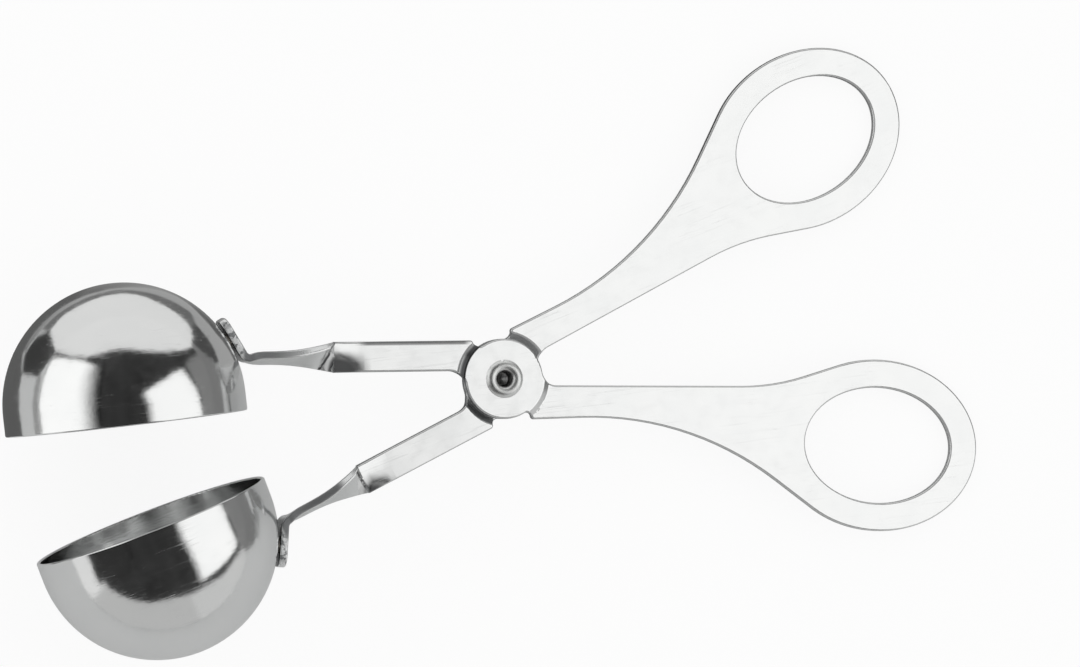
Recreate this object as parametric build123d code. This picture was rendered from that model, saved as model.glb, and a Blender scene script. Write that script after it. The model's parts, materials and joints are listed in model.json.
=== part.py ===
from build123d import *
from collections import Counter
import math
import os

os.makedirs("parts", exist_ok=True)

# Scissor tongs for forming meatballs, in millimetres and degrees.
# An arm is drawn closed and flat: pivot at the origin, handle towards +X, cup towards -X.
# It carries its cup on the +Y side and its handle on the -Y side.
# The second arm is the same stamping turned over about the X axis.

# Sheet of both arms
sheet = 1.6
edge_round = 0.38

# Pivot disc, joggled by half a sheet so that both shanks lie in one plane
disc_r = 7.85
disc_gap = 0.1
step_clearance = 0.25
step_run = 1.2
step_round = 0.6
relief_r = 1.2
front_relief_past = 32.6
handle_relief_past = 28.6
root_corner_r = 0.6
root_fillet_r = 3.2

# Front shank from the disc to the cup: a slight twist leads in to a crease, past which
# the strip turns on edge, and a short neck runs to the bend
shank_w = 5.95
shank_inset = 0.25
shank_toe = 5.86
lead_run = 6.0
lead_run_shares = [0, 0.25, 0.5, 0.75, 1]
lead_turns = [0, 0.375, 1.5, 3.375, 6]
twist_run = 15.4
twist_run_shares = [0, 0.07, 0.16, 0.34, 0.6, 1]
twist_turns = [6, 36, 48, 64, 76, 81]
neck_run = 1.57
bend_inner_r = 0.8

# Tab on the cup, laid along the dome at the welds
weld_from_apex = 65.3
weld_gap = 0.3
tab_past_weld = 4.2
tab_corner_r = 2.2
nugget_r = 1.1
nugget_spacing = 3.0

# Cup: a hemisphere with a short straight skirt
cup_bore_r = 22.5
cup_wall = 0.8
skirt_h = 3.8
rim_round = 0.3
cup_reach = 75.15
rim_clearance = 0.1

# Handle shank, its flare and the finger ring
handle_inner_offset = 1.25
handle_inner_toe = 6.8
handle_outset = 0.25
handle_outer_toe = 5.0
flare_angle = 43.0
flare_r = 64.0
crotch_angle = 10.3
crotch_r = 45.0
fillet_share = 0.95
ring_x = 75.35
ring_drop = 4.85
ring_tilt = -11.0
ring_hole_a = 15.3
ring_hole_b = 11.5
ring_band = 5.6

# Rivet, with a domed factory head behind and a rolled clinch in front
rivet_r = 2.4
rivet_fit = 0.02
rivet_run = 0.08
rivet_play = 0.1
head_r = 4.3
head_h = 1.3
head_rim_h = 0.35
clinch_r = 3.75
clinch_h = 0.75
bore_r = 1.45
bore_depth = 2.2
bore_tip_h = 0.5
nick_r = 0.35

# Turn of each arm from the closed place, as the tongs lie at rest
rest_half_turn = 7.24

# Reach of the cutting solids past what they cut
overrun = 5.0

cup_r = cup_bore_r + cup_wall
disc_under = disc_gap / 2
disc_top = disc_under + sheet
step_start_r = disc_r + step_clearance
shank_offset = disc_r - shank_inset - shank_w / 2
handle_outer_offset = disc_r + handle_outset
front_relief_at = 90 - shank_toe + front_relief_past
handle_relief_at = -90 - handle_outer_toe + handle_relief_past
ring_a = ring_hole_a + ring_band
ring_b = ring_hole_b + ring_band
ring_rise = math.hypot(
    ring_a * math.sin(math.radians(ring_tilt)), ring_b * math.cos(math.radians(ring_tilt))
)
ring_y = -ring_drop - ring_rise


def polar(radius, angle):
    """Point of the arm's plane at a distance and an angle from the pivot."""
    return Vector(radius * math.cos(math.radians(angle)), radius * math.sin(math.radians(angle)))


def cross(point_a, way_a, point_b, way_b):
    """Where two straight lines of the arm's plane meet, each given by a point and a direction."""
    gap = point_b - point_a
    along = (gap.X * way_b.Y - gap.Y * way_b.X) / (way_a.X * way_b.Y - way_a.Y * way_b.X)
    return point_a + way_a * along


def ring_touch(normal_angle):
    """Point of the ring's outer ellipse whose outward normal has this angle."""
    turn = math.radians(normal_angle - ring_tilt)
    reach = math.hypot(ring_a * math.cos(turn), ring_b * math.sin(turn))
    local = Vector(ring_a**2 * math.cos(turn) / reach, ring_b**2 * math.sin(turn) / reach)
    return Vector(ring_x, ring_y) + local.rotate(Axis.Z, ring_tilt)


# Lines of the arm's plane: each has a direction from the pivot outward and a side away from it.
shank_way = polar(1, 180 - shank_toe)
shank_side = polar(1, 90 - shank_toe)
shank_foot = shank_side * shank_offset
handle_outer_way = polar(1, -handle_outer_toe)
handle_outer_side = polar(1, -90 - handle_outer_toe)
handle_inner_way = polar(1, -handle_inner_toe)
handle_inner_side = polar(1, -90 - handle_inner_toe)

# The tab touches the dome at the welds, and its line meets the shank's at the bend.
cup_centre = Vector(-cup_reach, rim_clearance + skirt_h)
weld_way = polar(1, 90 - weld_from_apex)
tab_way = polar(1, 180 - weld_from_apex)
tab_middle = cup_centre + weld_way * (cup_r + weld_gap + sheet / 2)
tab_tip = tab_middle + tab_way * tab_past_weld
bend_corner = cross(shank_foot, shank_way, tab_middle, tab_way)
bend_turn = weld_from_apex - shank_toe
bend_r = bend_inner_r + sheet / 2
bend_along = (bend_corner - shank_foot).length - bend_r * math.tan(math.radians(bend_turn) / 2)
crease_along = bend_along - neck_run - twist_run
lead_start = crease_along - lead_run


def on_shank(along, side=0):
    """Point of the front shank, along its middle line and off to the outer side."""
    return shank_foot + shank_way * along + shank_side * side


def on_ray(offset, side_angle, ray_angle):
    """Point at a given angle from the pivot, on the line that passes the pivot at an offset."""
    return polar(offset / math.cos(math.radians(ray_angle - side_angle)), ray_angle)


def front_strip():
    """Flat stretch of the front shank, from the pivot to where the slight twist begins."""
    outer = shank_offset + shank_w / 2
    inner = shank_offset - shank_w / 2
    points = [
        Vector(0, 0),
        on_ray(outer, 90 - shank_toe, front_relief_at),
        on_shank(lead_start, shank_w / 2),
        on_shank(lead_start, -shank_w / 2),
        shank_side * inner,
    ]
    return make_face(Polyline(points, close=True))


def eased(face, corner, before, after, radius):
    """Round a corner between two straight edges, by no more than the edges have room for."""
    half_turn = (corner - before).get_angle(after - corner) / 2
    room = min((corner - before).length, (after - corner).length)
    widest = fillet_share * room / math.tan(math.radians(half_turn))
    return fillet(face.vertices().sort_by_distance(corner)[:1], min(radius, widest))


def handle_strip():
    """Handle shank with its flare, up to the tangents of the finger ring."""
    root = on_ray(handle_outer_offset, -90 - handle_outer_toe, handle_relief_at)
    inner_foot = handle_inner_side * handle_inner_offset
    flare_touch = ring_touch(-90 - flare_angle)
    flare = cross(root, handle_outer_way, flare_touch, polar(1, -flare_angle))
    crotch_touch = ring_touch(90 + crotch_angle)
    crotch = cross(inner_foot, handle_inner_way, crotch_touch, polar(1, crotch_angle))
    ring_middle = Vector(ring_x, ring_y)
    points = [Vector(0, 0), root, flare, flare_touch, ring_middle, crotch_touch, crotch, inner_foot]
    face = make_face(Polyline(points, close=True))
    face = eased(face, flare, root, flare_touch, flare_r)
    return eased(face, crotch, inner_foot, crotch_touch, crotch_r)


def relieved(plan, relief_at, offset, side, way):
    """Cut the relief beside the disc, and round the corner that it leaves on the outer edge."""
    centre = polar(disc_r + relief_r, relief_at)
    plan -= Pos(centre) * Circle(relief_r)
    height = centre.dot(side) - offset
    corner = side * offset + way * (centre.dot(way) + math.sqrt(relief_r**2 - height**2))
    return fillet(plan.vertices().sort_by_distance(corner)[:1], root_corner_r)


def rooted(plan, offset, side, way):
    """Round the inner corner where a straight edge runs into the disc."""
    corner = side * offset + way * math.sqrt(disc_r**2 - offset**2)
    return fillet(plan.vertices().sort_by_distance(corner)[:1], root_fillet_r)


def arm_outline():
    """Plan of the flat stamping: disc, front strip, handle and finger ring."""
    at_ring = Pos(ring_x, ring_y) * Rot(0, 0, ring_tilt)
    plan = Circle(disc_r) + front_strip() + handle_strip() + at_ring * Ellipse(ring_a, ring_b)
    outer = shank_offset + shank_w / 2
    inner = shank_offset - shank_w / 2
    plan = relieved(plan, front_relief_at, outer, shank_side, shank_way)
    plan = relieved(
        plan, handle_relief_at, handle_outer_offset, handle_outer_side, handle_outer_way
    )
    plan = rooted(plan, inner, shank_side, shank_way)
    plan = rooted(plan, handle_inner_offset, handle_inner_side, handle_inner_way)
    return plan - at_ring * Ellipse(ring_hole_a, ring_hole_b)


def joggled_blank():
    """Turned plate with the raised disc and the step round it."""
    blank_r = math.hypot(ring_x, ring_y) + ring_a + overrun
    step_end_r = step_start_r + step_run
    low = -sheet / 2
    step = [
        Vector(step_start_r, 0, disc_under),
        Vector(step_end_r, 0, low),
        Vector(step_end_r, 0, low + sheet),
        Vector(step_start_r, 0, disc_top),
    ]
    points = [Vector(0, 0, disc_under), *step[:2], Vector(blank_r, 0, low)]
    points += [Vector(blank_r, 0, low + sheet), *step[2:], Vector(0, 0, disc_top)]
    profile = make_face(Polyline(points, close=True))
    for corner in step:
        profile = fillet(profile.vertices().sort_by_distance(corner)[:1], step_round)
    return revolve(profile, Axis.Z)


def rim_edges(stamping):
    """Edges between the cut walls and the sheet faces, but for the end where the twist starts."""
    walls = []
    for face in stamping.faces():
        normal = face.normal_at()
        twist_end = face.geom_type == GeomType.PLANE and abs(normal.dot(shank_way)) > 0.999
        if abs(normal.Z) < 0.05 and not twist_end:
            walls.append(face)
    counts = Counter(edge for wall in walls for edge in wall.edges())
    return [edge for edge, uses in counts.items() if uses == 1 and abs((edge % 0.5).Z) < 0.5]


def flat_stamping(pin_hole_r):
    """Disc, step, front strip and handle of an arm, with rounded rims and the pin hole."""
    stamping = joggled_blank() & extrude(arm_outline(), disc_top + overrun, both=True)
    stamping = fillet(rim_edges(stamping), edge_round)
    return stamping - Cylinder(pin_hole_r, 2 * (disc_top + overrun))


def stations(start, run, shares, turns):
    """Places along the shank with the turn that the strip has at each."""
    return [(start + share * run, turn) for share, turn in zip(shares, turns)]


def twisted_strip(places):
    """Stretch of the shank that twists from place to place, its outer edge going to +Z."""
    sections = []
    for along, turn in places:
        side = shank_side * math.cos(math.radians(turn)) + Vector(0, 0, math.sin(math.radians(turn)))
        plane = Plane(origin=on_shank(along), x_dir=side, z_dir=shank_way)
        sections.append(plane * RectangleRounded(shank_w, sheet, edge_round))
    return loft(sections)


def twisted_neck():
    """Slight twist up to the crease, and past it the turn on edge and the neck to the bend."""
    lead = stations(lead_start, lead_run, lead_run_shares, lead_turns)
    twist = stations(crease_along, twist_run, twist_run_shares, twist_turns)
    return twisted_strip(lead) + twisted_strip([*twist, (bend_along, 90)])


def welded_tab():
    """Bend and tab that lie along the dome, the strip on edge."""
    start = on_shank(bend_along)
    arc = JernArc(start, shank_way, bend_r, -bend_turn)
    path = arc + Line(arc @ 1, tab_tip)
    section = Plane(origin=start, x_dir=(0, 0, 1), z_dir=shank_way) * Rectangle(shank_w, sheet)
    tab = sweep(section, path)
    end_edges = tab.edges().group_by(lambda edge: edge.center().dot(tab_way))[-1]
    tab = fillet(end_edges.filter_by(Axis((0, 0, 0), weld_way)), tab_corner_r)
    joint = tab.faces().sort_by(lambda face: (face.center() - start).length)[0]
    return fillet(ShapeList(set(tab.edges()) - set(joint.edges())), edge_round)


def arm(pin_hole_r):
    """One stamping: finger ring, joggled disc, twisted shank and welding tab."""
    return flat_stamping(pin_hole_r) + twisted_neck() + welded_tab()


def cup():
    """Thin cup that opens towards -Y, its straight skirt below the dome."""
    rim = [Vector(cup_bore_r, 0), Vector(cup_r, 0)]
    half = math.sqrt(0.5)
    outline = Polyline([Vector(0, skirt_h + cup_bore_r), Vector(0, skirt_h + cup_r)])
    outline += ThreePointArc(
        Vector(0, skirt_h + cup_r), Vector(cup_r * half, skirt_h + cup_r * half), Vector(cup_r, skirt_h)
    )
    outline += Polyline([Vector(cup_r, skirt_h), rim[1], rim[0], Vector(cup_bore_r, skirt_h)])
    outline += ThreePointArc(
        Vector(cup_bore_r, skirt_h),
        Vector(cup_bore_r * half, skirt_h + cup_bore_r * half),
        Vector(0, skirt_h + cup_bore_r),
    )
    profile = make_face(outline)
    profile = fillet([profile.vertices().sort_by_distance(corner)[0] for corner in rim], rim_round)
    return Pos(-cup_reach, rim_clearance) * revolve(profile, Axis.Y)


def weld_nuggets():
    """Two spot welds that fill the gap between the dome and the tab."""
    dome = Pos(cup_centre) * Sphere(cup_r)
    nuggets = []
    for side in (-1, 1):
        foot = cup_centre + weld_way * (cup_r - weld_gap) + Vector(0, 0, side * nugget_spacing / 2)
        pin = extrude(Plane(origin=foot, z_dir=weld_way) * Circle(nugget_r), 2 * weld_gap)
        nuggets += (pin - dome).solids()
    return Compound(children=nuggets)


def pivot_rivet():
    """Semi-tubular rivet: domed head behind, shank through both discs, rolled clinch in front."""
    head_top = -disc_top - rivet_play
    mouth = disc_top - bore_depth
    crest_r = (bore_r + clinch_r) / 2
    head_start = Vector(0, head_top - head_h)
    head_edge = Vector(head_r, head_top - head_rim_h)
    head_rise = head_h - head_rim_h
    dome_r = (head_r**2 + head_rise**2) / (2 * head_rise)
    lean = math.asin(head_r / dome_r) / 2
    head_middle = Vector(dome_r * math.sin(lean), head_start.Y + dome_r * (1 - math.cos(lean)))
    outline = ThreePointArc(head_start, head_middle, head_edge)
    outline += Polyline(
        [
            head_edge,
            Vector(head_r, head_top),
            Vector(rivet_r, head_top),
            Vector(rivet_r, disc_top),
            Vector(clinch_r, disc_top),
        ]
    )
    outline += ThreePointArc(
        Vector(clinch_r, disc_top), Vector(crest_r, disc_top + clinch_h), Vector(bore_r, disc_top)
    )
    outline += Polyline([Vector(bore_r, disc_top), Vector(bore_r, mouth), Vector(0, mouth - bore_tip_h)])
    outline += Line(Vector(0, mouth - bore_tip_h), head_start)
    turned = revolve(Plane.XZ * make_face(outline), Axis.Z)
    nick = Pos(0, clinch_r, disc_top + clinch_h / 2) * Cylinder(nick_r, 2 * clinch_h)
    return turned - nick


def lying_tilt():
    """Slope of the arms when both cups and both finger rings lie on a table."""
    cup_x = -cup_centre.rotate(Axis.Z, -rest_half_turn).X
    ring_x_end = ring_touch(rest_half_turn).dot(polar(1, rest_half_turn))
    run = cup_x + ring_x_end - edge_round
    rise = sheet / 2 - edge_round
    return math.degrees(math.asin((cup_r - edge_round) / math.hypot(run, rise)) - math.atan2(rise, run))


# Each arm turns about the pivot from its closed place, and the back one is turned over.
front_turn = Rot(0, 0, -rest_half_turn)
back_turn = Rot(180, 0, 0) * Rot(0, 0, -rest_half_turn)
nodes = {
    "front_arm": front_turn * arm(rivet_r + rivet_fit),
    "front_cup": front_turn * cup(),
    "front_cup_welds": front_turn * weld_nuggets(),
    "pivot_rivet": front_turn * pivot_rivet(),
    "back_arm": back_turn * arm(rivet_r + rivet_run),
    "back_cup": back_turn * cup(),
    "back_cup_welds": back_turn * weld_nuggets(),
}

# The tongs lie on the table, with the origin below their middle.
tilt = Rot(0, lying_tilt(), 0)
box = Compound(children=[tilt * node for node in nodes.values()]).bounding_box()
place = Pos(-box.center().X, -box.center().Y, -box.min.Z) * tilt
for name, node in nodes.items():
    export_step(place * node, f"parts/{name}.step")

pivot = place.position
hinge_axis = (place * Pos(0, 0, 1)).position - pivot
print("pivot mm", tuple(pivot), "hinge axis", tuple(hinge_axis), "tilt", lying_tilt())
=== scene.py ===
import json
from math import cos, pi, radians, sin

import bpy
from mathutils import Matrix, Vector


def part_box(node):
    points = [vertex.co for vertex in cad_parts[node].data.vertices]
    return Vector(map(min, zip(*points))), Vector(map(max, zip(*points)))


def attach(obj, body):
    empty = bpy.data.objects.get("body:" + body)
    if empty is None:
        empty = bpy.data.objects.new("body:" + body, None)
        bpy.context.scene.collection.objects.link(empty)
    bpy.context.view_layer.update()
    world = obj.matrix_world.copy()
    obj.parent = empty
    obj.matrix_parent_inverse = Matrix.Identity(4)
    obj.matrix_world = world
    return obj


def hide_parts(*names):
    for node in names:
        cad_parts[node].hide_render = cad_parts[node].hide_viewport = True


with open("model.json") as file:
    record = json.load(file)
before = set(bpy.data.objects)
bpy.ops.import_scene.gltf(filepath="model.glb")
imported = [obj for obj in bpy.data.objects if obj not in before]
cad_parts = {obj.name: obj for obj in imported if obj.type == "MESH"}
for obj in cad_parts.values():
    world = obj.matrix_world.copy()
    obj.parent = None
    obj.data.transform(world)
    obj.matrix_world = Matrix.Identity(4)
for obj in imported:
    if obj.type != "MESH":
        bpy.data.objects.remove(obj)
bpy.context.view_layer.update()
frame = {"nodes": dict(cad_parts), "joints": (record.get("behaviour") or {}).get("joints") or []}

# Camera. It looks almost straight down on the lying tongs, turned about the hinge as the
# photograph is: the cups to the left, the handles to the right and a little up the picture.
PHOTO_W, PHOTO_H = 1080, 667
PIVOT_X, PIVOT_Y = 502.4, 378.9
PIXELS_PER_M = 5107
CAMERA_DISTANCE = 1.0
CAMERA_YAW = radians(15)
CAMERA_PITCH = radians(-0.5)
PICTURE_ROLL = radians(13.99)

joint = frame["joints"][0]
pivot = Vector(joint["pos_m"])
hinge = Vector(joint["axis"])
along = (Vector((1, 0, 0)) - hinge * hinge.x).normalized()
across = hinge.cross(along)
picture_right = along * cos(PICTURE_ROLL) - across * sin(PICTURE_ROLL)
picture_up = along * sin(PICTURE_ROLL) + across * cos(PICTURE_ROLL)
sight = (
    -picture_right * sin(CAMERA_YAW) * cos(CAMERA_PITCH)
    + picture_up * sin(CAMERA_PITCH)
    + hinge * cos(CAMERA_YAW) * cos(CAMERA_PITCH)
)
camera_at = pivot + sight * CAMERA_DISTANCE


def look(way):
    """Turn that makes a camera look that way with the picture's up side up."""
    right = way.cross(picture_up).normalized()
    return Matrix((right, right.cross(way), -way)).transposed()


off_middle = Vector((PHOTO_W / 2 - PIVOT_X, PIVOT_Y - PHOTO_H / 2, 0)) / PIXELS_PER_M
aim = pivot + look(-sight) @ off_middle
camera = bpy.data.objects.new("camera", bpy.data.cameras.new("camera"))
camera.matrix_world = Matrix.Translation(camera_at) @ look((aim - camera_at).normalized()).to_4x4()
camera.data.lens = camera.data.sensor_width * PIXELS_PER_M * CAMERA_DISTANCE / PHOTO_W
camera.data.clip_start = 0.01
bpy.context.collection.objects.link(camera)
bpy.context.scene.camera = camera
bpy.context.scene.view_settings.view_transform = "Standard"


# Studio. Polished steel shows the room, so the room is built: two soft boxes, pale walls and a
# pale ceiling, grey and dark sheets on the table, and a dark drape round them all. The camera
# doesn't see them; each is a plain card that glows.
BORDER_INSIDE = 0.25
CARD_BORDER = 0.09
SOFT_BOX_BORDER = 0.02
SHEET_BORDER = 0.003
WARM_WHITE = (1, 1, 0.995, 1)


class Wire:
    """Output of a shader node, on which sums are written as on numbers."""

    def __init__(self, tree, socket=None):
        self.tree = tree
        self.socket = socket

    def add(self, kind, settings, sockets, out=0):
        """Any node, by its type, its settings and the values or wires of its sockets."""
        node = self.tree.nodes.new("ShaderNode" + kind)
        for name, value in settings.items():
            if name == "stops":
                ramp = node.color_ramp.elements
                for element, (place, level) in ((ramp[0], value[0]), (ramp[1], value[-1])):
                    element.position = place
                    element.color = (level, level, level, 1)
                for place, level in value[1:-1]:
                    ramp.new(place).color = (level, level, level, 1)
            else:
                setattr(node, name, value)
        for name, value in sockets.items():
            if isinstance(value, Wire):
                self.tree.links.new(value.socket, node.inputs[name])
            else:
                node.inputs[name].default_value = value
        return Wire(self.tree, node.outputs[out])

    def sum(self, operation, *values):
        """Math node on one, two or three values."""
        return self.add("Math", {"operation": operation}, dict(enumerate(values)))

    def to(self, socket):
        """Joins the wire to a socket."""
        self.tree.links.new(self.socket, socket)

    def __add__(self, other):
        return self.sum("ADD", self, other)

    def __sub__(self, other):
        return self.sum("SUBTRACT", self, other)

    def __rsub__(self, other):
        return self.sum("SUBTRACT", other, self)

    def __mul__(self, other):
        return self.sum("MULTIPLY", self, other)

    def __truediv__(self, other):
        return self.sum("DIVIDE", self, other)

    def __abs__(self):
        return self.sum("ABSOLUTE", self)

    __radd__ = __add__
    __rmul__ = __mul__


def fade(wire, low, high):
    """From 0 to 1 as the wire goes from low to high."""
    sockets = {"Value": wire, "From Min": low, "From Max": high}
    return wire.add("MapRange", {"interpolation_type": "SMOOTHSTEP"}, sockets)


def blank(name):
    """New material with nothing but its output."""
    material = bpy.data.materials.new(name)
    material.use_nodes = True
    material.node_tree.nodes.clear()
    output = material.node_tree.nodes.new("ShaderNodeOutputMaterial")
    return material, Wire(material.node_tree), output.inputs["Surface"]


view_turn = camera.matrix_world.to_3x3()


def grown(points, by):
    """Corners of a flat outline, moved outwards by a distance."""
    count = len(points)
    sides = [(points[(i + 1) % count] - points[i]).normalized() for i in range(count)]
    middle = sum(points, Vector()) / count
    spokes = [point - middle for point in points]
    facing = sum((spokes[i - 1].cross(spokes[i]) for i in range(count)), Vector()).normalized()
    moved = []
    for i, point in enumerate(points):
        before, after = sides[i - 1].cross(facing), sides[i].cross(facing)
        moved.append(point + (before + after) * (by / max(1 + before.dot(after), 0.5)))
    return moved


def stage_card(name, points, levels, border, soft=None):
    """Glowing card that the camera doesn't see; it thins out at its border, and its light
    may fade towards its four sides."""
    count = len(points)
    inside = grown(points, -border * BORDER_INSIDE)
    outside = grown(points, border * (1 - BORDER_INSIDE))
    mesh = bpy.data.meshes.new(name)
    strip = [(i, (i + 1) % count, (i + 1) % count + count, i + count) for i in range(count)]
    mesh.from_pydata(inside + outside, [], [range(count)] + strip)
    cover = mesh.attributes.new("cover", "FLOAT", "POINT")
    cover.data.foreach_set("value", [1] * count + [0] * count)
    glow_level = mesh.attributes.new("level", "FLOAT", "POINT")
    glow_level.data.foreach_set("value", list(levels) * 2)
    material, wire, surface = blank(name)
    light = wire.add("Attribute", {"attribute_name": "level"}, {}, "Fac")
    if soft:
        corners = mesh.uv_layers.new(name="UVMap").data
        for loop, corner in zip(mesh.loops, corners):
            corner.uv = ((0, 0), (1, 0), (1, 1), (0, 1))[loop.vertex_index % count]
        spot = wire.add("TexCoord", {}, {}, "UV")
        for axis, (near, far) in zip("XY", soft):
            share = spot.add("SeparateXYZ", {}, {0: spot}, axis)
            light = light * fade(share, 0, near) * fade(1 - share, 0, far)
    glow = wire.add("Emission", {}, {"Color": WARM_WHITE, "Strength": light})
    clear = wire.add("BsdfTransparent", {}, {})
    share = fade(wire.add("Attribute", {"attribute_name": "cover"}, {}, "Fac"), 0, 1)
    both = wire.add("MixShader", {}, {0: share, 1: clear, 2: glow})
    both.to(surface)
    mesh.materials.append(material)
    obj = bpy.data.objects.new(name, mesh)
    obj.visible_camera = False
    obj.visible_shadow = False
    bpy.context.collection.objects.link(obj)
    return obj


def card(name, reach, directions, level, soft=None, around=pivot, border=CARD_BORDER):
    """Flat card square to the middle of its corners' directions, which are given as the camera
    sees them, at a distance from the pivot or another place."""
    spokes = [view_turn @ Vector(direction).normalized() for direction in directions]
    facing = sum(spokes, Vector()).normalized()
    points = [around + spoke * (reach / spoke.dot(facing)) for spoke in spokes]
    return stage_card(name, points, [level] * len(points), border * reach, soft)


card(
    "soft_box_right", 0.9,
    [(0.23, 0.17, 0.96), (0.545, -0.665, 0.513), (0.99, -0.1, 0.06), (0.761, 0.54, 0.34)],
    level=1.11, soft=[(0.1, 0.06), (0.21, 0.1)], border=SOFT_BOX_BORDER,
)
card(
    "soft_box_left", 0.9,
    [(-0.3, 0.56, 0.77), (-0.84, 0.54, 0.13), (-0.95, -0.3, 0.12), (-0.34, -0.3, 0.89)],
    level=1.14, soft=[(0.36, 0.03), (0.08, 0.1)], border=SOFT_BOX_BORDER,
)
card(
    "pale_ceiling", 0.7,
    [
        (-0.8, 0.6, 0.08), (-0.78, 0.59, 0.2), (-0.69, 0.6, 0.39), (-0.55, 0.63, 0.55),
        (-0.38, 0.7, 0.61), (-0.13, 0.78, 0.61), (0.27, 0.78, 0.57), (0.55, 0.74, 0.39),
        (0.71, 0.7, 0.11), (0.74, 0.66, -0.12), (0, 0.95, -0.05),
    ],
    level=0.82,
)
card(
    "pale_wall", 0.7,
    [
        (-0.67, -0.61, 0.43), (-0.54, -0.72, 0.44), (-0.2, -0.85, 0.48), (0.15, -0.84, 0.52),
        (0.49, -0.75, 0.44), (0.6, -0.78, -0.1), (-0.72, -0.68, 0.06),
    ],
    level=0.53,
)
card(
    "pale_wall_right", 0.72,
    [
        (0.4, -0.78, 0.455), (0.49, -0.75, 0.44), (0.68, -0.64, 0.36), (0.83, -0.5, 0.23),
        (0.95, -0.3, 0.12), (0.99, -0.17, -0.01), (0.97, -0.2, -0.12), (0.6, -0.78, -0.1),
        (0.4, -0.9, -0.08),
    ],
    level=0.63,
)
card(
    "pale_wall_left", 1.1,
    [
        (-0.86, 0, 0.5), (-0.85, -0.2, 0.49), (-0.76, -0.32, 0.56), (-0.67, -0.61, 0.43),
        (-0.72, -0.68, 0.06), (-0.98, -0.15, 0.12), (-0.99, 0, 0.12),
    ],
    level=0.8,
)
card(
    "grey_panel", 1.1,
    [(0.97, -0.12, 0.2), (0.98, -0.12, -0.12), (0.8, 0.58, -0.1), (0.8, 0.55, 0.24)],
    level=0.22,
)

# Middles of the two cups, which the cards close to them are laid round.
CUP_MIDDLE_X = -0.07078
CUP_MIDDLE_Y = 0.01334
cup_middle = {}
for cup, side in (("front_cup", 1), ("back_cup", -1)):
    low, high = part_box(cup)
    cup_middle[cup] = Vector((CUP_MIDDLE_X, side * CUP_MIDDLE_Y, (high.z - low.z) / 2))
card(
    "black_flag", 0.1,
    [
        (-0.84, -0.14, 0.5), (-0.78, -0.3, 0.55), (-0.66, -0.52, 0.5), (-0.34, -0.42, 0.82),
        (-0.3, -0.13, 0.9),
    ],
    level=0.03, around=cup_middle["back_cup"],
).visible_diffuse = False


def table_card(name, height, levels, spans, border=SHEET_BORDER):
    """Card on the table round the front cup: at each angle, from one distance to another, with
    a level for each angle or one for all."""
    if not isinstance(levels, list):
        levels = [levels] * len(spans)
    near = [(turn, first) for turn, first, last in spans]
    far = [(turn, last) for turn, first, last in reversed(spans)]
    points = []
    for turn, reach in near + far:
        way = picture_right * cos(radians(turn)) + picture_up * sin(radians(turn))
        place = cup_middle["front_cup"] + Vector((way.x, way.y, 0)).normalized() * reach
        points.append(Vector((place.x, place.y, height)))
    stage_card(name, points, levels + levels[::-1], border).visible_diffuse = False


# A pale sheet behind the front cup, then three grey rings between it and the cup: painted
# shade, partly dark things round the tongs that the cup mirrors and partly the table's shade by the
# cup.
table_card(
    "pale_sheet", 0.0001, 0.8,
    [
        (42, 0.5, 1.5), (46, 0.147, 1.5), (52, 0.1, 1.5), (61, 0.086, 1.5), (70, 0.074, 1.5),
        (81, 0.061, 1.5), (91, 0.057, 1.5), (102, 0.061, 1.5), (114, 0.064, 1.5),
        (125, 0.066, 1.5), (137, 0.08, 1.5), (143, 1, 1.5),
    ],
    border=0.004,
)
table_card(
    "grey_ring_outer", 0.0002,
    [0.15, 0.15, 0.15, 0.16, 0.17, 0.18, 0.17, 0.17, 0.17, 0.17],
    [
        (46, 0.08, 0.147), (52, 0.054, 0.1), (61, 0.052, 0.086), (70, 0.05, 0.074),
        (81, 0.049, 0.061), (91, 0.047, 0.057), (102, 0.05, 0.061), (114, 0.052, 0.064),
        (125, 0.052, 0.066), (137, 0.055, 0.08),
    ],
)
table_card(
    "grey_ring_middle", 0.0003,
    [0.38] * 11 + [0.34, 0.2],
    [
        (20, 0.04, 0.11), (36, 0.046, 0.088), (46, 0.043, 0.08), (52, 0.037, 0.054),
        (61, 0.033, 0.052), (70, 0.034, 0.05), (81, 0.038, 0.049), (91, 0.041, 0.047),
        (102, 0.043, 0.05), (114, 0.043, 0.052), (125, 0.043, 0.052), (137, 0.044, 0.055),
        (152, 0.045, 0.052),
    ],
)
table_card(
    "grey_ring_inner", 0.0004,
    [0.11, 0.11, 0.11, 0.14, 0.24, 0.3, 0.29, 0.23, 0.16, 0.12] + [0.11] * 7,
    [
        (20, 0.022, 0.04), (36, 0.022, 0.046), (46, 0.022, 0.043), (52, 0.022, 0.037),
        (61, 0.022, 0.033), (70, 0.022, 0.034), (81, 0.022, 0.038), (91, 0.022, 0.041),
        (102, 0.022, 0.043), (114, 0.022, 0.043), (125, 0.022, 0.043), (137, 0.022, 0.044),
        (152, 0.022, 0.045), (165, 0.022, 0.07), (180, 0.022, 0.077), (195, 0.022, 0.08),
        (205, 0.022, 0.08),
    ],
)

# Dark corners on both sides of the sheet, and grey beyond them.
table_card(
    "dark_corner_left", 0.0005, 0.045,
    [(137, 0.08, 0.082), (143, 0.058, 1.5), (154, 0.056, 0.6), (163, 0.072, 0.28)],
    border=0.005,
)
table_card(
    "dark_corner_right", 0.0005, 0.07,
    [(24, 0.105, 0.16), (33, 0.089, 0.3), (42, 0.084, 0.5), (46, 0.08, 0.147)],
    border=0.006,
)
table_card(
    "grey_line_left", 0.0006, 0.3,
    [(163, 0.26, 0.62), (180, 0.25, 0.75), (200, 0.25, 0.75)],
    border=0.03,
)
table_card(
    "grey_runner", 0.0006, 0.2,
    [(-8, 0.2, 1.6), (0, 0.17, 1.6), (15, 0.17, 1.6), (24, 0.16, 1.6), (33, 0.3, 1.6), (41, 0.5, 1.5)],
    border=0.02,
)

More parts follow.
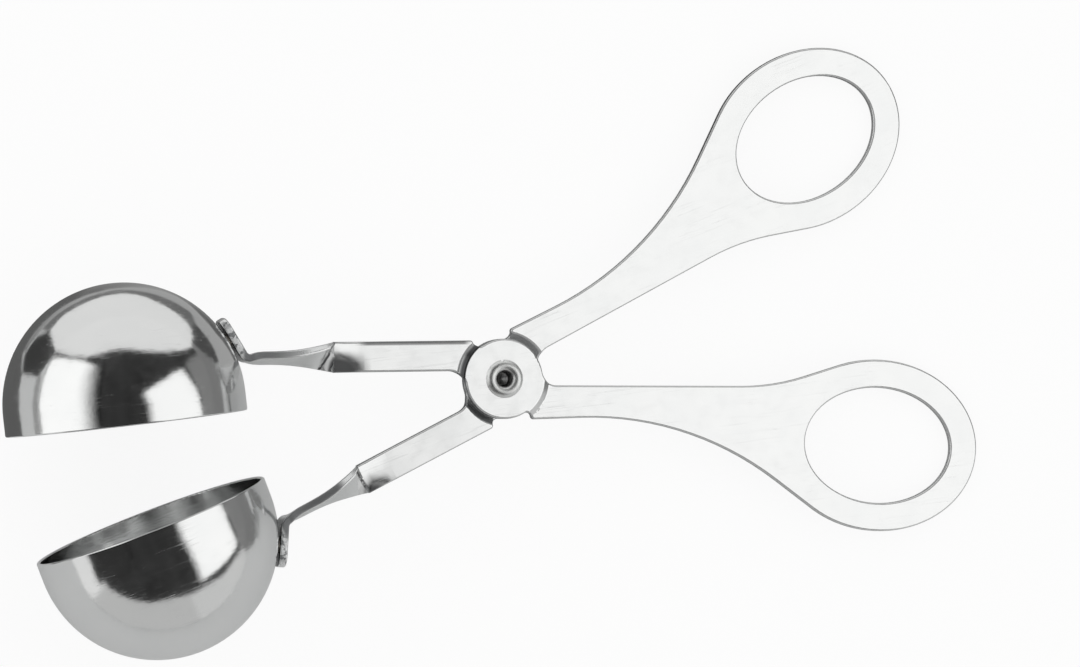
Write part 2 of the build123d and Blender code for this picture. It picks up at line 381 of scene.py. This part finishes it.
# Dark drape round the whole set, an open box with its inner side towards the tongs.
DRAPE_HALF, DRAPE_HEIGHT, DRAPE_FOOT = 1.7, 2.2, -0.01
DRAPE_DARKEST, DRAPE_FOLD = 0.014, 0.04
VEIL_SHARE = 0.98
VEIL_LEVEL = 0.3
drape_mesh = bpy.data.meshes.new("drape")
ring = [(-DRAPE_HALF, -DRAPE_HALF), (DRAPE_HALF, -DRAPE_HALF)]
ring = ring + [(-x, -y) for x, y in ring]
drape_mesh.from_pydata(
    [(x, y, z) for z in (DRAPE_FOOT, DRAPE_HEIGHT) for x, y in ring],
    [],
    [(7, 6, 5, 4)] + [(i, (i + 1) % 4, (i + 1) % 4 + 4, i + 4) for i in range(4)],
)
drape = bpy.data.objects.new("drape", drape_mesh)
drape.visible_camera = False
drape.visible_diffuse = False
drape.visible_shadow = False
bpy.context.collection.objects.link(drape)
material, wire, surface = blank("dark_drape")
spot = wire.add("TexCoord", {}, {}, "Object")
folds = wire.add("Mapping", {}, {"Vector": spot, "Scale": (2.2, 2.2, 0.7)})
folds = wire.add("TexNoise", {}, {"Vector": folds, "Scale": 1, "Detail": 2})
glow = wire.add("Emission", {}, {"Color": (1, 1, 1, 1), "Strength": DRAPE_DARKEST + folds * DRAPE_FOLD})
glow.to(surface)
drape_mesh.materials.append(material)

# Veil before the drape, lit for the flat arms alone: they would mirror the drape's black
# from many sides, where the round cups show it as one patch.
veil_mesh = drape_mesh.copy()
veil_mesh.transform(Matrix.Scale(VEIL_SHARE, 4))
veil = bpy.data.objects.new("pale_veil", veil_mesh)
veil.visible_camera = False
veil.visible_diffuse = False
veil.visible_shadow = False
bpy.context.collection.objects.link(veil)
for_arms = bpy.data.collections.new("for_arms")
for arm in ("front_arm", "back_arm"):
    for_arms.objects.link(frame["nodes"][arm])
veil.light_linking.receiver_collection = for_arms
material, wire, surface = blank("pale_veil")
glow = wire.add("Emission", {}, {"Strength": VEIL_LEVEL})
both = wire.add("AddShader", {}, {0: wire.add("BsdfTransparent", {}, {}), 1: glow})
both.to(surface)
veil_mesh.materials.clear()
veil_mesh.materials.append(material)

# Table. A white sheet that shows white to the camera and keeps the tongs' soft shadow; steel
# sees it as the pale grey that it is under the soft boxes.
TABLE_HALF, TABLE_DROP = 3, 0.0002
PAPER_IN_STEEL = (0.67, 0.675, 0.675, 1)
PAPER_SEEN = (0.97, 0.97, 0.97, 1)
WHITE_SHARE = 0.9
corners = [(x * TABLE_HALF, y * TABLE_HALF, 0) for x, y in ((-1, -1), (1, -1), (1, 1), (-1, 1))]
table_mesh = bpy.data.meshes.new("table")
table_mesh.from_pydata(corners, [], [(0, 1, 2, 3)])
table = bpy.data.objects.new("table", table_mesh)
table.location.z = -TABLE_DROP
bpy.context.collection.objects.link(table)
material, wire, surface = blank("table_sheet")
seen = wire.add("LightPath", {}, {}, "Is Camera Ray")
paper = wire.add("Mix", {"data_type": "RGBA"}, {0: seen, 6: PAPER_IN_STEEL, 7: PAPER_SEEN}, 2)
sheet = wire.add("BsdfDiffuse", {}, {"Color": paper})
white = wire.add("Emission", {}, {"Strength": 1})
both = wire.add("MixShader", {}, {0: seen * WHITE_SHARE, 1: sheet, 2: white})
both.to(surface)
table_mesh.materials.append(material)

# Room. White behind everything, for the camera and for the metal, and an even light on the
# rest that is a tenth brighter.
EVEN_LIGHT = 1.1
world = bpy.data.worlds.new("room")
world.use_nodes = True
bpy.context.scene.world = world
world.node_tree.nodes.clear()
wire = Wire(world.node_tree)
seen = wire.sum(
    "MAXIMUM",
    wire.add("LightPath", {}, {}, "Is Camera Ray"),
    wire.sum(
        "MAXIMUM",
        wire.add("LightPath", {}, {}, "Is Glossy Ray"),
        wire.add("LightPath", {}, {}, "Is Transmission Ray"),
    ),
)
white = wire.add("Background", {}, {"Strength": 1})
even = wire.add("Background", {}, {"Strength": EVEN_LIGHT})
both = wire.add("MixShader", {}, {0: seen, 1: even, 2: white})
output = world.node_tree.nodes.new("ShaderNodeOutputWorld")
both.to(output.inputs["Surface"])


# Arms. Two stampings of 1.6 mm stainless steel, sheared from sheet, joggled at the pivot,
# twisted on edge at the neck and bent along the cup, then tumbled and buffed to a near
# mirror: the faces keep a fine lengthwise grain, the sheared edges stay satin and darker.
REST_HALF_TURN = radians(7.24)
SHANK_TOE = radians(5.86)

# Stations run in millimetres from the pivot along the shank. TWIST pairs a station with the
# degrees by which the sheet is turned there.
BEND_AT = 50.9
CREASE_AT = 33.9
TWIST = [
    (27.9, 0), (30.9, 1.5), (CREASE_AT, 6), (35, 36), (36.4, 48), (39.1, 64), (43.1, 76), (49.3, 81),
    (BEND_AT, 90),
]
TWIST_SPAN = 60
SHANK_EDGE = 7.6

# The joggle's wall lies between two distances from the pivot, and its corner, painted dark as shade,
# within it.
STEP_FROM, STEP_TO, CORNER_TO = 8, 9.7, 8.6
WELD_AT = Vector((-53, 14.1, 0))
WELD_FROM_APEX = radians(65.3)
WELD_WAY = Vector((sin(WELD_FROM_APEX), cos(WELD_FROM_APEX), 0))

STEEL = (0.84, 0.845, 0.842, 1)
WORN_STEEL = (0.795, 0.805, 0.805, 1)
SHEARED = (0.36, 0.364, 0.366, 1)
SHEARED_BRIGHT = (0.62, 0.625, 0.625, 1)
SHEAR_LINE = (0.25, 0.255, 0.258, 1)
BURNISHED = (0.86, 0.87, 0.87, 1)
MOTTLED_AND_SHADE = (0.16, 0.165, 0.17, 1)
# The next two tones are painted shade, for the crease, corners, gaps and dents.
PAINTED_SHADE = (0.05, 0.05, 0.052, 1)
DENT_SHADE = (0.14, 0.142, 0.144, 1)
STRAW = (0.74, 0.66, 0.5, 1)
FACE_ROUGHNESS, EDGE_ROUGHNESS = 0.085, 0.3
GRAIN_DEPTH, WAVE_DEPTH, SCRATCH_DEPTH = 0.6e-6, 40e-6, 0.8e-6
CREASE_DEPTH, DENT_DEPTH = 30e-6, 250e-6
SHEAR_DEPTH, PIT_DEPTH = 20e-6, 40e-6


def dot(wire, vector):
    """How far a vector reaches in a direction."""
    return wire.add("VectorMath", {"operation": "DOT_PRODUCT"}, {0: wire, 1: vector}, "Value")


def distance(place, spot):
    """How far a place is from a spot."""
    return place.add("VectorMath", {"operation": "DISTANCE"}, {0: place, 1: spot}, "Value")


def from_hinge(place):
    """How far a place is from the hinge's own axis."""
    flat = place.add("VectorMath", {"operation": "MULTIPLY"}, {0: place, 1: (1, 1, 0)})
    return flat.add("VectorMath", {"operation": "LENGTH"}, {0: flat}, "Value")


def local_mm(wire, turn):
    """Object coordinates as a piece's own, in millimetres from the pivot."""
    sockets = {
        "Vector": wire.add("TexCoord", {}, {}, "Object"),
        "Location": pivot,
        "Rotation": turn.to_euler(),
        "Scale": (0.001, 0.001, 0.001),
    }
    return wire.add("Mapping", {"vector_type": "TEXTURE"}, sockets)


def noise(place, scale, detail, stretch=(1, 1, 1), turn=0):
    """Cloudy pattern with so many grains per millimetre, drawn out along some directions."""
    sockets = {"Vector": place, "Rotation": (0, 0, turn), "Scale": stretch}
    drawn = place.add("Mapping", {"vector_type": "POINT"}, sockets)
    settings = {"noise_dimensions": "3D"}
    return drawn.add("TexNoise", settings, {"Vector": drawn, "Scale": scale, "Detail": detail})


def hairlines(place, turns):
    """Sparse straight scratches in a few directions, each from 0 to 1."""
    lines = 0
    for turn in turns:
        fine = noise(place, 1, 1, (0.06, 4.5, 0.6), turn)
        where = noise(place, 0.11, 1, turn=turn + 1)
        lines = fade(fine, 0.67, 0.71) * fade(where, 0.5, 0.6) + lines
    return lines


def mix(share, first, second):
    """Colour that goes from the first to the second with the share."""
    sockets = {0: share, 6: first, 7: second}
    return share.add("Mix", {"data_type": "RGBA"}, sockets, 2)


def metal(wire, surface, colour, roughness, height):
    """Bare metal with a colour, a roughness and a relief in metres."""
    bump = wire.add("Bump", {}, {"Height": height, "Distance": 1.0, "Strength": 1.0})
    sockets = {"Metallic": 1, "Base Color": colour, "Roughness": roughness, "Normal": bump}
    wire.add("BsdfPrincipled", {}, sockets).to(surface)


def arm_steel(name, turn, joggle_shade, lean, bright, pitted_from):
    """Steel of one arm as it lies: the painted shade in its joggle's corner, the crease's lean, the
    stations where the neck's bright edge fades, and the one where the pitted edge begins."""
    material, wire, surface = blank(name)
    place = local_mm(wire, turn)
    normal = wire.add("NewGeometry", {}, {}, "Normal")
    shank_way = Vector((-cos(SHANK_TOE), sin(SHANK_TOE), 0))
    shank_side = Vector((sin(SHANK_TOE), cos(SHANK_TOE), 0))
    station = dot(place, shank_way)
    offset = dot(place, shank_side)
    radius = from_hinge(place)
    past_disc = fade(station, 2, 4)

    # How square a face stands to the sheet: 1 on the rolled faces, 0 on the sheared edges.
    stops = [(at / TWIST_SPAN, angle / 90) for at, angle in TWIST]
    twist = station.add("ValToRGB", {"stops": stops}, {0: station / TWIST_SPAN}) * (pi / 2)
    upright = dot(normal, turn @ Vector((0, 0, 1)))
    sideways = dot(normal, turn @ shank_side)
    face_on = abs(upright * wire.sum("COSINE", twist) - sideways * wire.sum("SINE", twist))
    bent = fade(station, BEND_AT - 0.6, BEND_AT + 0.6)
    edge_on = (1 - fade(face_on, 0.45, 0.9)) * (1 - bent) + fade(abs(upright), 0.45, 0.9) * bent
    inward_shade = fade(dot(normal, turn @ WELD_WAY) * -1, 0.6, 0.9) * bent
    tab = fade(station, pitted_from, pitted_from + 0.8)

    # The twisting tool left a crease and a shallow dent before it, pressed in as relief; both are
    # painted dark as the shade that falls in them.
    wander = noise(place, 0.9, 3)
    crease = station - CREASE_AT - (SHANK_EDGE - offset) * lean + (wander - 0.5) * 0.5
    crease = (1 - fade(abs(crease), 0.16, 0.4)) * fade(wander, 0.3, 0.45)
    before = 1 - fade(station, CREASE_AT, CREASE_AT + 1.5)
    lower_side = 1 - fade(offset, SHANK_EDGE - 5.6, SHANK_EDGE - 1.6)
    upper_side = fade(offset, SHANK_EDGE - 2.6, SHANK_EDGE + 0.2)
    long_dent = fade(station, CREASE_AT - 7.5, CREASE_AT) * lower_side
    short_dent = fade(station, CREASE_AT - 5, CREASE_AT) * upper_side
    under = fade(0 - upright, 0, 0.5)
    dent = (long_dent * (1 - under) + short_dent * under * 0.7) * before

    # Grain and marks of the faces.
    grain = noise(place, 1, 3, (0.05, 7, 7), SHANK_TOE)
    cloud = noise(place, 0.12, 3)
    smudge = noise(place, 0.45, 4)
    scratch = hairlines(place, (0.2, -0.35, 1.1, 2.3))
    wave = noise(place, 0.07, 1)

    # Faces: worn steel with a straw tint round the welds, and painted shade, which darkens them in
    # the crease, the joggle's corner and the dents, and along the shank's upper edge.
    tint = 1 - fade(distance(place, WELD_AT), 1.2, 4.5)
    corner = fade(radius, STEP_FROM - 0.2, STEP_FROM) * (1 - fade(radius, CORNER_TO, CORNER_TO + 0.9))
    # Painted shade in a band along the shank's upper edge, on its upper face.
    upper_edge_shade = fade(offset, SHANK_EDGE - 0.95, SHANK_EDGE - 0.55) * (1 - under)
    upper_edge_shade = upper_edge_shade * fade(station, 6.4, 8) * (1 - fade(station, 27, 30))
    worn_and_shaded = mix(fade(cloud, 0.3, 0.75) * 0.5, STEEL, WORN_STEEL)
    worn_and_shaded = mix(tint * fade(smudge, 0.3, 0.7) * 0.7, worn_and_shaded, STRAW)
    worn_and_shaded = mix(crease * 0.9, worn_and_shaded, PAINTED_SHADE)
    # Painted shade in the joggle's corner.
    worn_and_shaded = mix(corner * past_disc * joggle_shade, worn_and_shaded, PAINTED_SHADE)
    worn_and_shaded = mix(fade(dent, 0.05, 0.55) * 0.9, worn_and_shaded, DENT_SHADE)
    worn_and_shaded = mix(upper_edge_shade * 0.75, worn_and_shaded, PAINTED_SHADE)

    # Edges: shear lines run through the thickness. The neck's edge is burnished at first and
    # then dark, the tab's is bright and pitted, and the joggle's wall is painted dark as the step's
    # shade.
    through = noise(place, 1, 3, (5, 5, 0.5))
    pits = fade(noise(place, 1.2, 5), 0.52, 0.6)
    wall = fade(radius, STEP_FROM - 0.3, STEP_FROM) * (1 - fade(radius, STEP_TO, STEP_TO + 0.4))
    past_bright = fade(station, *bright)
    burnished = fade(station, CREASE_AT, CREASE_AT + 0.5) * (1 - past_bright) * 0.9 + tab * 0.8
    # The sheared edges are painted lighter on the handles, as the light that they catch there.
    handle_side = 1 - fade(station, -14, -8)
    cut = mix(handle_side, SHEARED, SHEARED_BRIGHT)
    cut = mix(fade(through, 0.35, 0.7) * 0.35, cut, SHEAR_LINE)
    cut = mix(burnished, cut, BURNISHED)
    cut = mix(past_bright * (1 - tab) * 0.55, cut, MOTTLED_AND_SHADE)
    cut = mix(tab * pits * 0.85, cut, MOTTLED_AND_SHADE)
    # The joggle's wall is painted dark as the shade of the step.
    cut = mix(wall * past_disc * 0.75, cut, MOTTLED_AND_SHADE)

    # The tab's inner face, which the electrodes pressed on the cup, is painted black as the shade of
    # the gap between tab and dome.
    colour = mix(edge_on, worn_and_shaded, cut)
    colour = mix(inward_shade * 0.9, colour, PAINTED_SHADE)
    rough_face = FACE_ROUGHNESS + grain * 0.06 + fade(smudge, 0.4, 0.8) * 0.05 + scratch * 0.08
    rough_face = rough_face + tint * 0.12 + crease * 0.2 + (1 - fade(station, 16, 26)) * 0.04
    rough_edge = EDGE_ROUGHNESS + through * 0.25 - burnished * 0.15
    roughness = rough_face * (1 - edge_on) + rough_edge * edge_on
    face = grain * GRAIN_DEPTH + wave * WAVE_DEPTH - scratch * SCRATCH_DEPTH
    face = face - crease * CREASE_DEPTH - dent * DENT_DEPTH
    edge = through * SHEAR_DEPTH + pits * tab * PIT_DEPTH
    metal(wire, surface, colour, roughness, face * (1 - edge_on) + edge * edge_on)
    return material


lying = Matrix((along, across, hinge)).transposed()
front_turn = lying @ Matrix.Rotation(-REST_HALF_TURN, 3, "Z")
back_turn = lying @ Matrix.Rotation(pi, 3, "X") @ Matrix.Rotation(-REST_HALF_TURN, 3, "Z")
for arm, turn, joggle_shade, lean, bright, pitted_from in (
    ("front_arm", front_turn, 0.97, 0.5, (39, 49), BEND_AT + 0.9),
    ("back_arm", back_turn, 0.4, 0.15, (37.5, 40), BEND_AT + 1.7),
):
    steel = arm_steel(arm + "_steel", turn, joggle_shade, lean, bright, pitted_from)
    frame["nodes"][arm].material_slots[0].material = steel

# Cups. Deep drawn from 0.8 mm stainless steel and buffed on a spinning chuck, so the mirror
# carries faint rings about each cup's axis and a few hairlines from use.
CUP_AT = Vector((-75.15, 3.9, 0))
DOME_R = 23.3
TAB_SHADE_R, TAB_SHADE_FADE = 2.4, 2
WORN_CUP = (0.79, 0.8, 0.8, 1)
CUP_ROUGHNESS = 0.085
RING_DEPTH, STREAK_DEPTH, CUP_WAVE_DEPTH, HAIRLINE_DEPTH = 5e-6, 12e-6, 50e-6, 1e-6


def cup_steel(name, turn):
    """Mirror steel of one cup, with its rings about the cup's own axis."""
    material, wire, surface = blank(name)
    place = local_mm(wire, turn)
    from_axis = place.add("VectorMath", {"operation": "SUBTRACT"}, {0: place, 1: CUP_AT})
    level = place.add("CombineXYZ", {}, {"Z": dot(from_axis, (0, 1, 0))})
    rings = noise(level, 2.2, 4)
    cloud = noise(place, 0.1, 3)
    smudge = noise(place, 0.35, 4)
    scratch = hairlines(place, (0.5, -0.6, 1.5, 2.6, 3.3))
    wave = noise(place, 0.06, 1)
    streak = noise(place, 1, 3, (0.3, 2.2, 0.3)) * fade(smudge, 0.35, 0.65)
    # The dome is painted dark round each weld as the shade of the tab over it.
    tab_shade = 1 - fade(distance(from_axis, WELD_WAY * DOME_R), TAB_SHADE_R, TAB_SHADE_R + TAB_SHADE_FADE)
    colour = mix(fade(cloud, 0.3, 0.75) * 0.5, STEEL, WORN_CUP)
    colour = mix(tab_shade * 0.85, colour, PAINTED_SHADE)
    roughness = CUP_ROUGHNESS + rings * 0.05 + fade(smudge, 0.42, 0.8) * 0.06 + scratch * 0.1
    height = rings * RING_DEPTH + streak * STREAK_DEPTH + wave * CUP_WAVE_DEPTH
    metal(wire, surface, colour, roughness, height - scratch * HAIRLINE_DEPTH)
    return material


for cup, turn in (("front_cup", front_turn), ("back_cup", back_turn)):
    frame["nodes"][cup].material_slots[0].material = cup_steel(cup + "_steel", turn)

# Welds. Two resistance welds hold each tab to its dome: round nuggets of dull grey metal that
# melted under the electrodes and set in the gap, each with a ring of beads squeezed out of it.
WELD_GAP = 0.0003
WELD_LIFT = DOME_R * 0.001 + WELD_GAP / 2
BEAD_RING = 1.06
BEAD_RISE = 0.4
LUMPS_PER_M = 2500
CRUST_DEPTH = 100e-6
WELD_DARK = (0.2, 0.19, 0.18, 1)
WELD_PALE = (0.5, 0.47, 0.42, 1)


class Bench:
    """Geometry Nodes tree under construction."""

    def __init__(self, name):
        self.tree = bpy.data.node_groups.new(name, "GeometryNodeTree")
        self.sockets = {}
        self.entry = self.tree.nodes.new("NodeGroupInput")

    def size(self, name, kind, value=None):
        """Named input of the tree."""
        item = self.tree.interface.new_socket(name, in_out="INPUT", socket_type="NodeSocket" + kind)
        if value is not None:
            item.default_value = value
        self.sockets[name] = item.identifier
        return self.entry.outputs[name]

    def make(self, kind, settings, sockets, out=0):
        """Output of a new node, by its type, its settings and the values of its sockets."""
        node = self.tree.nodes.new(kind)
        for name, value in settings.items():
            setattr(node, name, value)
        for name, value in sockets.items():
            if isinstance(value, bpy.types.NodeSocket):
                self.tree.links.new(value, node.inputs[name])
            else:
                node.inputs[name].default_value = value
        return node.outputs[out]

    def math(self, operation, first, second):
        """Math node on two values."""
        return self.make("ShaderNodeMath", {"operation": operation}, {0: first, 1: second})

    def vector(self, x, y, z):
        """Vector from its three parts."""
        return self.make("ShaderNodeCombineXYZ", {}, {0: x, 1: y, 2: z})

    def close(self, result):
        """The tree's result, as real geometry."""
        self.tree.interface.new_socket("Geometry", in_out="OUTPUT", socket_type="NodeSocketGeometry")
        exit_node = self.tree.nodes.new("NodeGroupOutput")
        self.tree.links.new(result, exit_node.inputs["Geometry"])


bench = Bench("weld_pair")
nugget_r = bench.size("Nugget Radius", "Float", 0.0011)
nugget_h = bench.size("Nugget Height", "Float", 0.0006)
spacing = bench.size("Spacing", "Float", 0.003)
bead_r = bench.size("Bead Radius", "Float", 0.00016)
bead_count = bench.size("Beads", "Int", 15)
lumps = bench.size("Lumps", "Float", 0.00006)
seed = bench.size("Seed", "Int", 5)
finish = bench.size("Finish", "Material")

nugget = bench.make(
    "GeometryNodeMeshCylinder", {},
    {"Vertices": 40, "Side Segments": 6, "Fill Segments": 5, "Radius": nugget_r, "Depth": nugget_h},
)
ring_r = bench.math("MULTIPLY", nugget_r, BEAD_RING)
bead_ring = bench.make("GeometryNodeMeshCircle", {}, {"Vertices": bead_count, "Radius": ring_r})
bead = bench.make("GeometryNodeMeshIcoSphere", {}, {"Radius": bead_r, "Subdivisions": 3})
bead_size = bench.make(
    "FunctionNodeRandomValue", {"data_type": "FLOAT"}, {"Min": 0.55, "Max": 1.25, "Seed": seed}, 1
)
beads = bench.make(
    "GeometryNodeInstanceOnPoints", {}, {"Points": bead_ring, "Instance": bead, "Scale": bead_size}
)
beads = bench.make(
    "GeometryNodeTranslateInstances", {},
    {"Instances": beads, "Translation": bench.vector(0, 0, bench.math("MULTIPLY", bead_r, BEAD_RISE))},
)
weld = bench.tree.nodes.new("GeometryNodeJoinGeometry")
bench.tree.links.new(beads, weld.inputs[0])
bench.tree.links.new(nugget, weld.inputs[0])
sites = bench.make(
    "GeometryNodeMeshLine", {},
    {
        "Count": 2,
        "Start Location": bench.vector(bench.math("MULTIPLY", spacing, -0.5), 0, 0),
        "Offset": bench.vector(spacing, 0, 0),
    },
)
spin = bench.make(
    "FunctionNodeRandomValue", {"data_type": "FLOAT"}, {"Min": 0.0, "Max": 2 * pi, "Seed": seed}, 1
)
pair = bench.make(
    "GeometryNodeInstanceOnPoints", {},
    {"Points": sites, "Instance": weld.outputs[0], "Rotation": bench.vector(0, 0, spin)},
)
pair = bench.make("GeometryNodeRealizeInstances", {}, {"Geometry": pair})
here = bench.make("GeometryNodeInputPosition", {}, {})
uneven = bench.make("ShaderNodeTexNoise", {}, {"Vector": here, "Scale": LUMPS_PER_M, "Detail": 2}, 1)
uneven = bench.make("ShaderNodeVectorMath", {"operation": "SUBTRACT"}, {0: uneven, 1: (0.5, 0.5, 0.5)})
uneven = bench.make("ShaderNodeVectorMath", {"operation": "SCALE"}, {0: uneven, "Scale": lumps})
pair = bench.make("GeometryNodeSetPosition", {}, {"Geometry": pair, "Offset": uneven})
pair = bench.make("GeometryNodeSetShadeSmooth", {}, {"Geometry": pair})
bench.close(bench.make("GeometryNodeSetMaterial", {}, {"Geometry": pair, "Material": finish}))

material, wire, surface = blank("weld_metal")
place = local_mm(wire, front_turn)
crust = noise(place, 1.8, 5)
colour = mix(fade(crust, 0.35, 0.65), WELD_DARK, WELD_PALE)
metal(wire, surface, colour, crust * 0.3 + 0.35, crust * CRUST_DEPTH)

weld_turn = Matrix((Vector((0, 0, 1)), Vector((0, 0, -1)).cross(WELD_WAY), WELD_WAY)).transposed()
for half, turn, start in (("front", front_turn, 5), ("back", back_turn, 9)):
    maker = bpy.data.objects.new(half + "_weld_maker", bpy.data.meshes.new(half + "_weld_maker"))
    bpy.context.collection.objects.link(maker)
    modifier = maker.modifiers.new("welds", "NODES")
    modifier.node_group = bench.tree
    modifier[bench.sockets["Seed"]] = start
    modifier[bench.sockets["Finish"]] = material
    ready = maker.evaluated_get(bpy.context.evaluated_depsgraph_get())
    mesh = bpy.data.meshes.new_from_object(ready)
    mesh.materials.clear()
    mesh.materials.append(material)
    mesh.polygons.foreach_set("material_index", [0] * len(mesh.polygons))
    maker.modifiers.remove(modifier)
    bpy.data.objects.remove(maker)
    foot = pivot + turn @ (CUP_AT * 0.001 + WELD_WAY * WELD_LIFT)
    mesh.transform(Matrix.Translation(foot) @ (turn @ weld_turn).to_4x4())
    welds = bpy.data.objects.new(half + "_weld_beads", mesh)
    bpy.context.collection.objects.link(welds)
    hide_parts(half + "_cup_welds")
    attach(welds, half + "_half")

# Rivet. A semi-tubular rivet of nickelled steel: its head was turned bright, its tube's end
# was rolled over by the setting tool, which left it ringed, and the bore's wall is painted dark as its
# shade.
BORE_R = 1.6
DRILLED_R = 1.25
NICKEL = (0.86, 0.87, 0.86, 1)
NICKEL_DULL = (0.68, 0.68, 0.67, 1)
BORE_SHADE = (0.3, 0.3, 0.3, 1)
RIVET_ROUGHNESS = 0.34
TURNED_DEPTH, DRILL_SLOPE = 12e-6, 240e-6
material, wire, surface = blank("rivet_metal")
place = local_mm(wire, lying)
radius = from_hinge(place)
turned = noise(place.add("CombineXYZ", {}, {"X": radius}), 2.2, 2)
smudge = noise(place, 0.9, 4)
inside = 1 - fade(radius, BORE_R, BORE_R + 0.3)
drilled = 1 - fade(radius, DRILLED_R, DRILLED_R + 0.15)
colour = mix(fade(smudge, 0.4, 0.7) * 0.4, NICKEL, NICKEL_DULL)
# The bore's wall is painted dark grey as the shade inside it; its drilled bottom keeps the nickel.
colour = mix(inside * (1 - drilled), colour, BORE_SHADE)
roughness = RIVET_ROUGHNESS + turned * 0.12 - drilled * 0.18
metal(wire, surface, colour, roughness, turned * TURNED_DEPTH + drilled * radius * DRILL_SLOPE)
frame["nodes"]["pivot_rivet"].material_slots[0].material = material
